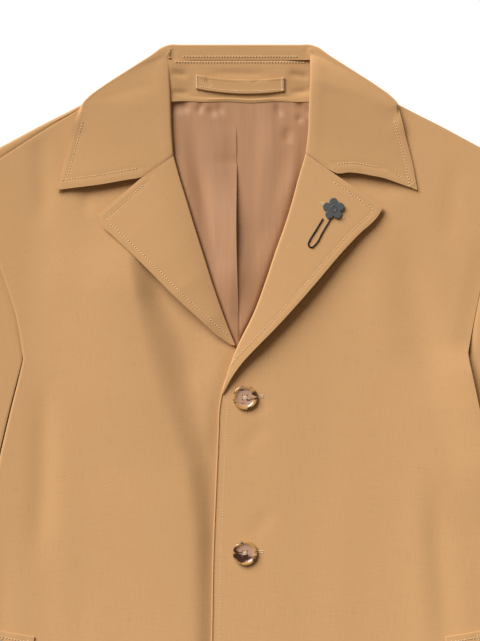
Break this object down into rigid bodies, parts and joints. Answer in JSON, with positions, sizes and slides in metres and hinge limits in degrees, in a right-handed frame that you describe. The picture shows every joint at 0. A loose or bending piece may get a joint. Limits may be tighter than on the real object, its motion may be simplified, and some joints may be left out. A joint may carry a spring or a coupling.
{
  "type": "shirt jacket",
  "caption": "Camel shirt jacket laid flat on its back, with an open collar, turned-out notched lapels, long sleeves at its sides and horn-look buttons.",
  "frame": {"origin": "middle of the jacket's outline in X and Y, on the surface that it lies on", "axes": "+Z away from that surface, out of the jacket's front; +Y towards the collar; +X towards the wearer's left"},
  "size_m": [0.94, 0.8581, 0.0185],
  "materials": {
    "camel_cloth": "fine plain weave, matt",
    "tan_lining": "satin weave, soft sheen",
    "horn_button": "polished, streaked like horn",
    "slate_enamel": "satin enamel",
    "dark_wire": "darkened steel wire"
  },
  "bodies": {
    "root": {"back": "camel_cloth", "back_lining": "tan_lining", "front_right": "camel_cloth", "front_left": "camel_cloth", "lapel_right": "camel_cloth", "lapel_left": "camel_cloth", "collar": "camel_cloth", "collar_stand": "camel_cloth", "hanger_loop": "camel_cloth", "sleeve_right_upper": "camel_cloth", "sleeve_right_under": "camel_cloth", "sleeve_left_upper": "camel_cloth", "sleeve_left_under": "camel_cloth", "pocket_welt_right": "camel_cloth", "pocket_welt_left": "camel_cloth", "button_1": "horn_button", "button_2": "horn_button", "button_3": "horn_button", "lapel_flower": "slate_enamel", "pin_wire": "dark_wire"}
  },
  "joints": []
}
